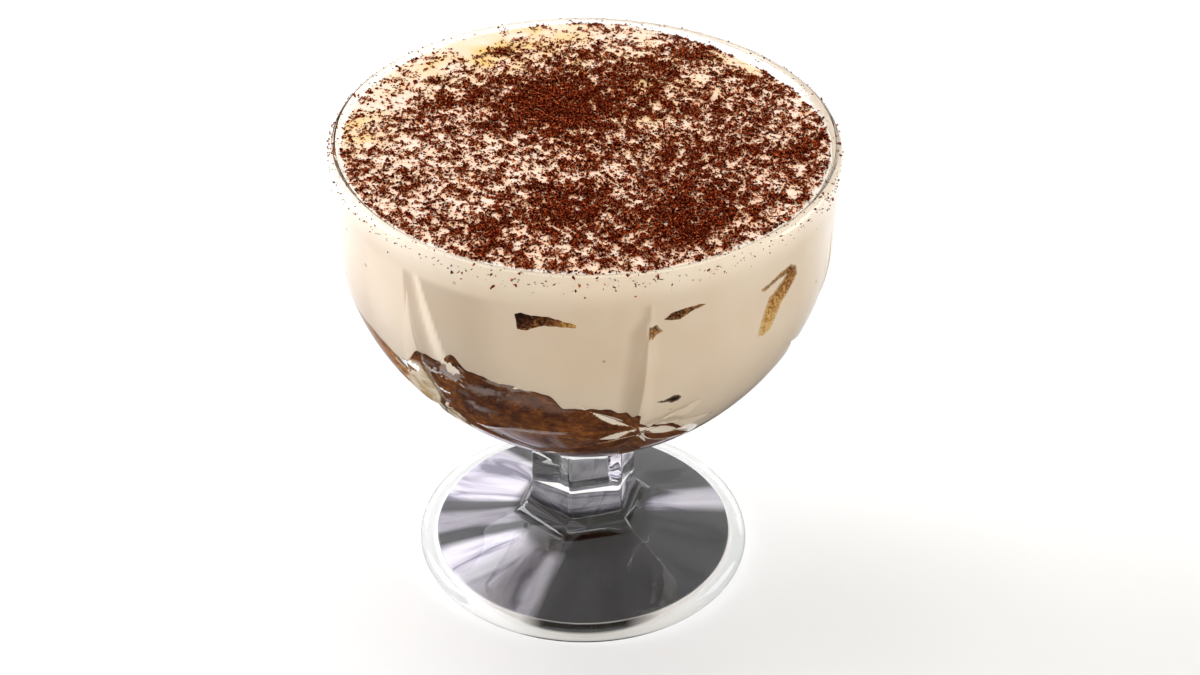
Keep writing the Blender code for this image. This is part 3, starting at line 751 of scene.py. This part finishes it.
def wall_patch(name, outline, depth, golden_and_shade, faded, material):
    """A piece of biscuit that touches the wall inside an outline of azimuths and heights."""
    middle_z = sum(z for _, z in outline) / len(outline) * MM
    scale = radians(1.0) * inside_radius(middle_z)
    flat = [Vector((azimuth * scale, z * MM, 0.0)) for azimuth, z in outline]
    centre = sum(flat, Vector()) / len(flat)
    mesh = bmesh.new()
    mesh.faces.new([mesh.verts.new(point) for point in flat])
    bmesh.ops.triangulate(mesh, faces=mesh.faces)
    bmesh.ops.subdivide_edges(mesh, edges=mesh.edges, cuts=5, use_grid_fill=True)
    for vertex in mesh.verts:
        if vertex.is_boundary:
            place = vertex.co / BISCUIT_RAGGED_SIZE
            sway = [noise.noise(place + Vector((0.0, 0.0, layer))) for layer in (0.5, 7.5)]
            vertex.co += Vector((*sway, 0.0)) * BISCUIT_RAGGED
    border = [vertex.co.copy() for vertex in mesh.verts if vertex.is_boundary]
    made = bmesh.ops.extrude_face_region(mesh, geom=mesh.faces[:])
    for vertex in [item for item in made["geom"] if isinstance(item, bmesh.types.BMVert)]:
        vertex.co = centre + (vertex.co - centre) * BISCUIT_TAPER
        vertex.co.z = -depth
    inwards = [min((vertex.co.xy - point.xy).length for point in border) for vertex in mesh.verts]
    edge = [max(0.0, 1.0 - distance / BISCUIT_FADE) for distance in inwards]
    for vertex in mesh.verts:
        u, z, sink = vertex.co
        vertex.co = around(u / scale, float(inside_radius(z)) + BISCUIT_CONTACT + sink, z)
    bmesh.ops.recalc_face_normals(mesh, faces=mesh.faces)
    data = bpy.data.meshes.new(name)
    mesh.to_mesh(data)
    mesh.free()
    data.shade_smooth()
    data.set_sharp_from_angle(angle=BISCUIT_CREASE)
    data.materials.append(material)
    item = add_object(name + "_end", data)
    points = mesh_points(item)
    lowest, highest = np.min(outline, axis=0), np.max(outline, axis=0)
    right = (2.0 * azimuth_of(points) - lowest[0] - highest[0]) / (highest[0] - lowest[0])
    above = (2.0 * points[:, 2] / MM - lowest[1] - highest[1]) / (highest[1] - lowest[1])
    store(item, "golden_and_shade", np.clip(golden_and_shade[0] + golden_and_shade[1] * right + golden_and_shade[2] * above, 0.0, 1.0))
    store(item, "fade", faded * np.array(edge))
    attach(item, "root")
    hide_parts(name)


def make_biscuits():
    material = biscuit_material()
    for name, (outline, depth, golden_and_shade, faded) in BISCUITS.items():
        wall_patch(name, outline, depth, golden_and_shade, faded, material)


# Grated chocolate


def chocolate_cover(x, y):
    """Share of the cream that the chocolate hides at a place, from 0 to nearly 1."""
    cover = CHOCOLATE_COVER
    for heap_x, heap_y, radius, strength in HEAPS:
        distance = hypot(x / MM - heap_x, y / MM - heap_y) / radius
        cover += strength * exp(-distance * distance)
    for size, amount in CHOCOLATE_CLUMPS:
        cover += amount * noise.noise(Vector((x, y, 3.0 * MM)) / size)
    return min(CHOCOLATE_THICKEST, max(0.0, cover))


def fleck_places(dice):
    """Places on the cream as rows of x, y and z, thick where the cover is high."""
    most = -log(1.0 - CHOCOLATE_THICKEST) / FLECK_FOOTPRINT
    tries = int(most * pi * (CHOCOLATE_REACH / MM) ** 2)
    radii = CHOCOLATE_REACH * np.sqrt(dice.random(tries))
    turns = dice.uniform(0.0, tau, tries)
    chances = dice.random(tries)
    lifts = dice.random(tries)
    places = []
    for radius, turn, chance, lift in zip(radii, turns, chances, lifts):
        x, y = radius * cos(turn), radius * sin(turn)
        cover = chocolate_cover(x, y)
        if chance * most < -log(1.0 - cover) / FLECK_FOOTPRINT:
            places.append((x, y, cream_top(x, y) + lift * PILE_HEIGHT * cover * cover))
    return np.array(places)


def stray_places(dice):
    """Places of flecks that lie on the lip or cling to the outside just below it."""
    lip_centre = float(outside_radius(GLASS_HEIGHT)) - LIP
    reach = LIP + STRAY_LIFT
    places = []
    for number in range(RIM_FLECKS + RIM_CLUSTER):
        azimuth, rise = dice.uniform(-180.0, 180.0), radians(dice.uniform(5.0, 165.0))
        if number >= RIM_FLECKS:
            azimuth = dice.uniform(*RIM_CLUSTER_TURN)
        radius = lip_centre + reach * cos(rise)
        places.append(around(azimuth, radius, GLASS_HEIGHT - LIP + reach * sin(rise)))
    for _ in range(WALL_FLECKS):
        azimuth = dice.uniform(-90.0, 75.0)
        z = GLASS_HEIGHT - 1.0 * MM - dice.exponential(WALL_FLECK_DROP)
        places.append(around(azimuth, float(outside_radius(z)) + STRAY_LIFT, z))
    return np.array(places)


def turns_of(dice, count, lean):
    """Turns about the vertical with a lean off the flat, as an array of matrices."""
    turn = dice.uniform(0.0, tau, count)
    tip = dice.uniform(-lean, lean, count)
    roll = dice.uniform(-lean, lean, count)

    def rotation(angle, first, second):
        """Turns in the plane of two axes, from the first to the second."""
        made = np.tile(np.eye(3), (count, 1, 1))
        made[:, first, first] = made[:, second, second] = np.cos(angle)
        made[:, second, first] = np.sin(angle)
        made[:, first, second] = -np.sin(angle)
        return made

    return rotation(turn, 0, 1) @ rotation(tip, 2, 0) @ rotation(roll, 1, 2)


def scatter(name, shape, faces, places, sizes, dice, crooked, lean, material):
    """Crooked copies of a small closed shape, each with its own size and turn, as one piece."""
    count = len(places)
    shape = np.array(shape)
    points = shape[None, :, :] + dice.uniform(-crooked, crooked, (count, len(shape), 3))
    points = points * sizes[:, None, :]
    points = np.einsum("nij,nvj->nvi", turns_of(dice, count, lean), points) + places[:, None, :]
    offsets = np.arange(count)[:, None, None] * len(shape)
    all_faces = (np.array(faces)[None, :, :] + offsets).reshape(-1, 3)
    item = make_object(name, points.reshape(-1, 3).tolist(), all_faces.tolist(), material)
    item.data.shade_flat()
    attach(item, "root")


def double_cone(sides):
    """A closed shape with a ring of points and two tips, and its triangles."""
    angles = [tau * side / sides for side in range(sides)]
    ring = [(cos(angle), sin(angle), 0.0) for angle in angles]
    faces = []
    for side in range(sides):
        after = (side + 1) % sides
        faces.append((side, after, sides))
        faces.append((after, side, sides + 1))
    return ring + [(0.0, 0.0, 1.0), (0.0, 0.0, -1.0)], faces


def curl_shape(sections):
    """A bent closed strip of three-sided section, and its triangles."""
    points = []
    for section in range(sections):
        angle = radians(-60.0 + 120.0 * section / (sections - 1))
        width = 0.25 + 0.75 * sin(pi * (section + 0.5) / sections)
        x, z = sin(angle), 1.2 * (cos(angle) - 0.75)
        points += [(x, -width, z), (x, width, z), (x, 0.0, z + 0.45)]
    faces = [(0, 1, 2), (3 * sections - 3, 3 * sections - 1, 3 * sections - 2)]
    for section in range(sections - 1):
        for side in range(3):
            here, after = 3 * section + side, 3 * section + (side + 1) % 3
            faces += [(here, here + 3, after), (after, here + 3, after + 3)]
    return points, faces


def make_chocolate():
    """Four kinds of fleck over the cream."""
    dice = np.random.default_rng(CHOCOLATE_SEED)
    lying = fleck_places(dice)
    places = np.concatenate([lying, stray_places(dice)])
    kinds = dice.random(len(places))
    spread = dice.lognormal(0.0, 0.38, len(places))
    spread[len(lying):] *= STRAY_SIZE
    parts = (
        ("chocolate_shards", 0.0, 0.30, double_cone(4), (0.32, 0.18, 0.105), 0.30, 0.8),
        ("chocolate_crumbs", 0.30, 0.66, double_cone(3), (0.25, 0.21, 0.16), 0.30, 0.9),
        ("chocolate_curls", 0.66, 0.73, curl_shape(4), (0.37, 0.15, 0.23), 0.16, 0.6),
        ("chocolate_dust", 0.73, 1.0, double_cone(3), (0.15, 0.125, 0.10), 0.30, 0.9),
    )
    for name, low, high, (shape, faces), size, crooked, lean in parts:
        chosen = (kinds >= low) & (kinds < high)
        sizes = np.array(size)[None, :] * MM * np.clip(spread[chosen], 0.4, 2.4)[:, None]
        scatter(name, shape, faces, places[chosen], sizes, dice, crooked, lean, chocolate_material(name))


# Materials


class Nodes:
    """A node tree, with short calls that add a node and give back its output."""

    def __init__(self, owner):
        owner.use_nodes = True
        self.owner, self.tree = owner, owner.node_tree

    def put(self, socket, value):
        """Set a socket to a number or a colour, or link another node's result to it."""
        if isinstance(value, bpy.types.NodeSocket):
            self.tree.links.new(value, socket)
        else:
            socket.default_value = (*value, 1.0) if isinstance(value, tuple) else value

    def add(self, kind, **settings):
        """A node with its options and inputs set by name, with underscores for spaces."""
        node = self.tree.nodes.new("ShaderNode" + kind)
        for key, value in settings.items():
            if hasattr(node, key):
                setattr(node, key, value)
            else:
                self.put(node.inputs[key.replace("_", " ")], value)
        return node

    def shader(self):
        return self.tree.nodes["Principled BSDF"]

    def coloured(self, colour):
        """The material, with a colour linked to its shader."""
        self.put(self.shader().inputs["Base Color"], colour)
        return self.owner

    def where(self):
        return self.add("TexCoord").outputs["Object"]

    def place(self):
        """The object's own coordinates as three values."""
        return self.add("SeparateXYZ", Vector=self.where()).outputs

    def noise(self, scale, detail=2.0, roughness=0.5, distortion=0.0):
        """Noise fixed to the object; scale is in features per metre."""
        values = {"Scale": scale, "Detail": detail, "Roughness": roughness, "Distortion": distortion}
        return self.add("TexNoise", Vector=self.where(), **values).outputs["Fac"]

    def cells(self, scale):
        """Distance from the nearest of some scattered points."""
        return self.add("TexVoronoi", Vector=self.where(), Scale=scale).outputs["Distance"]

    def mark(self, name):
        """A value stored on the mesh's points."""
        return self.add("Attribute", attribute_name=name).outputs["Fac"]

    def ramp(self, factor, stops):
        """Colours by position along a factor."""
        node = self.add("ValToRGB", Fac=factor)
        elements = node.color_ramp.elements
        while len(elements) < len(stops):
            elements.new(0.5)
        for element, (position, colour) in zip(elements, stops):
            element.position = position
            element.color = (*colour, 1.0)
        return node.outputs["Color"]

    def mix(self, factor, first, second, blend_type="MIX"):
        """A mix of two colours."""
        node = self.add("Mix", data_type="RGBA", blend_type=blend_type)
        for number, value in ((0, factor), (6, first), (7, second)):
            self.put(node.inputs[number], value)
        return node.outputs[2]

    def tint(self, first, second):
        """Two colours multiplied."""
        return self.mix(1.0, first, second, "MULTIPLY")

    def span(self, value, low, high):
        """0 below low, 1 above high, even between; high may be the lower one."""
        return self.add("MapRange", clamp=True, Value=value, From_Min=low, From_Max=high).outputs["Result"]

    def calc(self, operation, first, second=0.0):
        node = self.add("Math", operation=operation)
        self.put(node.inputs[0], first)
        self.put(node.inputs[1], second)
        return node.outputs[0]

    def times(self, first, second):
        return self.calc("MULTIPLY", first, second)

    def from_axis(self):
        """Distance from the coupe's axis."""
        place = self.place()
        squares = [self.times(place[axis], place[axis]) for axis in "XY"]
        return self.calc("SQRT", self.calc("ADD", *squares))

    def blend(self, factor, first, second):
        """A mix of two shaders."""
        node = self.add("MixShader")
        for socket, value in zip(node.inputs, (factor, first.outputs[0], second.outputs[0])):
            self.put(socket, value)
        return node


def new_material(name, **sockets):
    """A material with values set on its Principled shader."""
    mat = Nodes(bpy.data.materials.new(name))
    for socket, value in sockets.items():
        mat.put(mat.shader().inputs[socket.replace("_", " ")], value)
    return mat


def polar_streaks(mat):
    """Azimuth from 0 at the back to 1 once round, and noise drawn out away from the axis."""
    place = mat.place()
    angle = mat.calc("ARCTAN2", place["X"], mat.times(place["Y"], -1.0))
    spot = mat.add("CombineXYZ", X=mat.times(angle, 5.0), Y=mat.times(mat.from_axis(), 45.0)).outputs[0]
    streaks = mat.add("TexNoise", Vector=spot, Scale=1.0, Detail=3.0, Distortion=0.8).outputs["Fac"]
    return mat.calc("ADD", mat.calc("DIVIDE", angle, tau), 0.5), streaks


def glass_material():
    """Clear pressed glass that lets light through, with painted reflections and shade under its foot and a
    painted highlight on its ring.
    """
    mat = new_material(
        "pressed_glass", Base_Color=(0.995, 1.0, 0.995), Roughness=0.0, IOR=1.5, Transmission_Weight=1.0
    )
    wave = mat.add("Bump", Strength=1.0, Distance=0.03 * MM, Height=mat.noise(80.0, 0.0))
    mat.put(mat.shader().inputs["Normal"], wave.outputs["Normal"])
    # Painted reflections under the foot: tones by azimuth, broken by streaks drawn out from the axis
    turn, streaks = polar_streaks(mat)
    stops = [(azimuth / 360.0 + 0.5, (1.02 * tone, 0.98 * tone, 1.07 * tone)) for azimuth, tone in FOOT_REFLECTION_TONES]
    reflection_streaks = mat.ramp(streaks, ((0.35, (0.25, 0.24, 0.30)), (0.5, (0.8, 0.78, 0.84)), (0.62, WHITE)))
    axis = mat.from_axis()
    height = mat.place()["Z"]
    # Painted shade under the stem
    stem = mat.ramp(mat.span(axis, *PAINTED_STEM_SHADE_REACH), ((0.0, WHITE), (1.0, (PAINTED_STEM_SHADE,) * 3)))
    shade = mat.add("BsdfDiffuse", Color=mat.tint(mat.tint(mat.ramp(turn, stops), reflection_streaks), stem))
    # Painted highlight on the resting ring, with painted shade on its inner wall in front
    tones = zip(RING_SHADE_SIDE, (RING_HIGHLIGHT, RING_SHADE, RING_SHADE, RING_HIGHLIGHT))
    stops = [(azimuth / 360.0 + 0.5, (tone, 0.97 * tone, tone)) for azimuth, tone in tones]
    inner = mat.span(height, 0.22 * MM, 0.34 * MM)
    ring_light_shader = mat.add("BsdfDiffuse", Color=mat.mix(inner, (RING_HIGHLIGHT,) * 3, mat.ramp(turn, stops)))
    hollow = mat.times(mat.span(axis, 32.25 * MM, 32.05 * MM), mat.span(height, 3.6 * MM, 3.3 * MM))
    ring = mat.times(mat.span(axis, 32.0 * MM, 32.2 * MM), mat.span(axis, 34.9 * MM, 34.5 * MM))
    ring = mat.times(ring, mat.span(height, 1.9 * MM, 1.6 * MM))
    shaded = mat.blend(mat.times(hollow, HOLLOW_SHADE), mat.shader(), shade)
    with_ring_light = mat.blend(mat.times(ring, HOLLOW_SHADE), shaded, ring_light_shader)
    clear = mat.add("BsdfTransparent", Color=(0.98, 0.985, 0.98))
    mixed = mat.blend(mat.add("LightPath").outputs["Is Shadow Ray"], with_ring_light, clear)
    mat.put(mat.tree.nodes["Material Output"].inputs["Surface"], mixed.outputs[0])
    return mat.owner


def cream_material():
    """Cream with faint streaks, yellow stains and orange soak on top, painted warm shade among the flecks,
    and the cuts' light.
    """
    mat = new_material("whipped_cream", Roughness=0.6, Specular_IOR_Level=0.1)
    colour = mat.ramp(mat.noise(90.0, 3.0), ((0.3, (0.92, 0.815, 0.70)), (0.7, (0.95, 0.875, 0.78))))
    # Orange where the chocolate lies: soak together with painted warm shade
    soaked = mat.times(mat.mark("soak_and_warm_shade"), mat.span(mat.noise(900.0), 0.15, 0.52))
    colour = mat.mix(soaked, colour, (1.0, 0.43, 0.13))
    colour = mat.mix(mat.mark("stain"), colour, (0.88, 0.58, 0.20))
    speck = mat.times(mat.span(mat.cells(125.0), 0.07, 0.045), 0.6)
    colour = mat.mix(speck, colour, (0.42, 0.28, 0.15))
    stops = ((0.0, (0.455, 0.40, 0.343)), (0.5, (0.812, 0.783, 0.75)), (1.0, WHITE))
    return mat.coloured(mat.tint(colour, mat.ramp(mat.mark("cut_light"), stops)))


def sponge_material():
    """Wet brown crumb with patches and pores, the pores in painted shade; where the cuts' light is brightest,
    cream as a painted glint.
    """
    mat = new_material("soaked_sponge", Roughness=0.6, Specular_IOR_Level=0.1)
    tone = mat.noise(560.0, 6.0, 0.75)
    colour = mat.ramp(tone, (
        (0.3, (0.060, 0.016, 0.002)), (0.5, (0.15, 0.046, 0.007)), (0.62, (0.27, 0.095, 0.018)),
        (0.75, (0.50, 0.22, 0.06)),
    ))
    colour = mat.tint(colour, mat.ramp(mat.noise(150.0, 4.0, 0.6, 0.6), (
        (0.34, (0.50, 0.38, 0.38)), (0.45, (0.90, 0.88, 0.88)), (0.54, (1.10, 1.05, 1.0)),
        (0.64, (1.60, 1.60, 1.50)),
    )))
    # Painted shade in the sponge's pores
    pore_shade = mat.times(mat.span(mat.cells(520.0), 0.22, 0.10), mat.span(tone, 0.52, 0.42))
    colour = mat.mix(pore_shade, colour, (0.030, 0.008, 0.002))
    # Darker along the sponge's top edge, where it meets the cream
    colour = mat.mix(mat.times(mat.mark("top_edge_dark"), 0.8), colour, (0.045, 0.014, 0.004))
    # Painted reflection: grey sheen on the sponge
    colour = mat.mix(mat.mark("sheen_reflection"), colour, (0.36, 0.28, 0.27))
    tanned = mat.times(mat.mark("tan"), mat.span(tone, 0.30, 0.62))
    colour = mat.mix(tanned, colour, (0.64, 0.30, 0.115))
    # The pale stretch is painted light, with streaks
    streaks = mat.span(mat.noise(260.0, 3.0, 0.6, 1.5), 0.40, 0.56)
    colour = mat.mix(mat.mark("pale"), colour, mat.mix(streaks, (0.62, 0.45, 0.22), (0.92, 0.82, 0.69)))
    light = mat.mark("cut_light")
    stops = ((0.0, (0.35, 0.33, 0.33)), (0.5, (0.85,) * 3), (1.0, WHITE))
    colour = mat.tint(colour, mat.ramp(light, stops))
    # Painted glint: pale cream where the light of the cuts is brightest
    return mat.coloured(mat.mix(mat.span(light, 0.82, 0.93), colour, (0.90, 0.83, 0.73)))


def biscuit_material():
    """Soaked biscuit, nearly black to golden by its own colour and by painted light and shade, faded where
    cream covers its edge.
    """
    mat = new_material("biscuit_crumb", Roughness=0.8, Specular_IOR_Level=0.0)
    speckle = mat.times(mat.calc("SUBTRACT", mat.noise(1800.0, 4.0, 0.7), 0.5), 2.2)
    colour = mat.ramp(mat.calc("ADD", mat.mark("golden_and_shade"), speckle), (
        (0.0, (0.012, 0.005, 0.003)), (0.25, (0.06, 0.018, 0.006)), (0.45, (0.17, 0.065, 0.025)),
        (0.7, (0.36, 0.18, 0.05)), (0.85, (0.52, 0.30, 0.09)), (1.0, (0.66, 0.46, 0.20)),
    ))
    fade = mat.times(mat.mark("fade"), mat.span(mat.noise(1600.0), 0.30, 0.50))
    return mat.coloured(mat.mix(fade, colour, (0.70, 0.60, 0.46)))


def chocolate_material(name):
    mat = new_material(name, Roughness=0.6, Specular_IOR_Level=0.02)
    return mat.coloured(mat.ramp(mat.noise(2600.0, 1.0), (
        (0.38, (0.009, 0.0006, 0.0002)), (0.50, (0.080, 0.005, 0.001)), (0.58, (0.27, 0.030, 0.006)),
        (0.68, (0.66, 0.155, 0.045)),
    )))


def floor_material():
    """Pale; what the glass mirrors of it is dim near the dessert, as if its shadow lay there."""
    mat = new_material("pale_floor", Roughness=0.9)
    colour = mat.ramp(mat.noise(3.0), ((0.3, (0.92,) * 3), (0.7, (0.94,) * 3)))
    path = mat.add("LightPath").outputs
    far = mat.calc("MAXIMUM", mat.span(mat.from_axis(), 0.20, 0.70), mat.span(mat.place()["Y"], 0.03, 0.10))
    dim = mat.mix(far, (0.05, 0.045, 0.045), colour)
    mirrored = mat.calc("SUBTRACT", path["Is Glossy Ray"], path["Is Transmission Ray"])
    return mat.coloured(mat.mix(mirrored, colour, dim))


# Stage


def make_camera():
    data = bpy.data.cameras.new("camera")
    data.lens = CAMERA_LENS
    data.sensor_width = SENSOR_WIDTH
    data.sensor_fit = "HORIZONTAL"
    camera = add_object("camera", data)
    turn = Matrix.Rotation(CAMERA_PITCH, 4, "X") @ Matrix.Rotation(CAMERA_ROLL, 4, "Z")
    camera.matrix_world = Matrix.Translation(CAMERA_PLACE) @ turn
    bpy.context.scene.camera = camera


def make_light(name, place, target, size, power, colour=WHITE):
    """A soft box aimed at a point."""
    data = bpy.data.lights.new(name, "AREA")
    data.shape = "RECTANGLE"
    data.size, data.size_y = size
    data.energy = power
    data.color = colour
    light = add_object(name, data)
    away = Vector(place) - Vector(target)
    light.matrix_world = Matrix.Translation(place) @ away.to_track_quat("Z", "Y").to_matrix().to_4x4()
    return light


def make_floor():
    half = 2.0
    corners = [(-half, -half, 0.0), (half, -half, 0.0), (half, half, 0.0), (-half, half, 0.0)]
    floor = make_object("floor", corners, [(0, 1, 2, 3)], floor_material())


def make_world():
    """Soft surroundings, bright above and dim near the horizon."""
    world = bpy.data.worlds.new("studio")
    bpy.context.scene.world = world
    sky = Nodes(world)
    split = sky.add("SeparateXYZ", Vector=sky.add("TexCoord").outputs["Generated"])
    stops = ((0.0, (0.25, 0.25, 0.21)), (0.35, (0.34, 0.33, 0.28)), (0.75, (0.40,) * 3))
    sky.put(sky.tree.nodes["Background"].inputs["Color"], sky.ramp(split.outputs["Z"], stops))


def main():
    bpy.context.scene.view_settings.view_transform = "Standard"
    make_camera()
    make_world()
    make_floor()
    centre = (0.0, 0.0, 0.07)
    make_light("top_box", (-0.1, 0.35, 1.1), centre, (1.0, 0.8), 5.8)
    make_light("left_box", (-0.94, 0.30, 0.5), centre, (0.6, 0.7), 10.3, (0.97, 0.98, 1.04))
    make_light("right_box", (0.9, 0.22, 0.45), centre, (0.5, 0.6), 4.0)
    fill = make_light("front_fill", (0.2, -1.3, 0.3), centre, (0.9, 0.4), 4.3, (1.0, 0.86, 0.64))
    fill.visible_glossy = False
    make_glass()
    make_sponge()
    make_cream()
    make_biscuits()
    make_chocolate()


main()
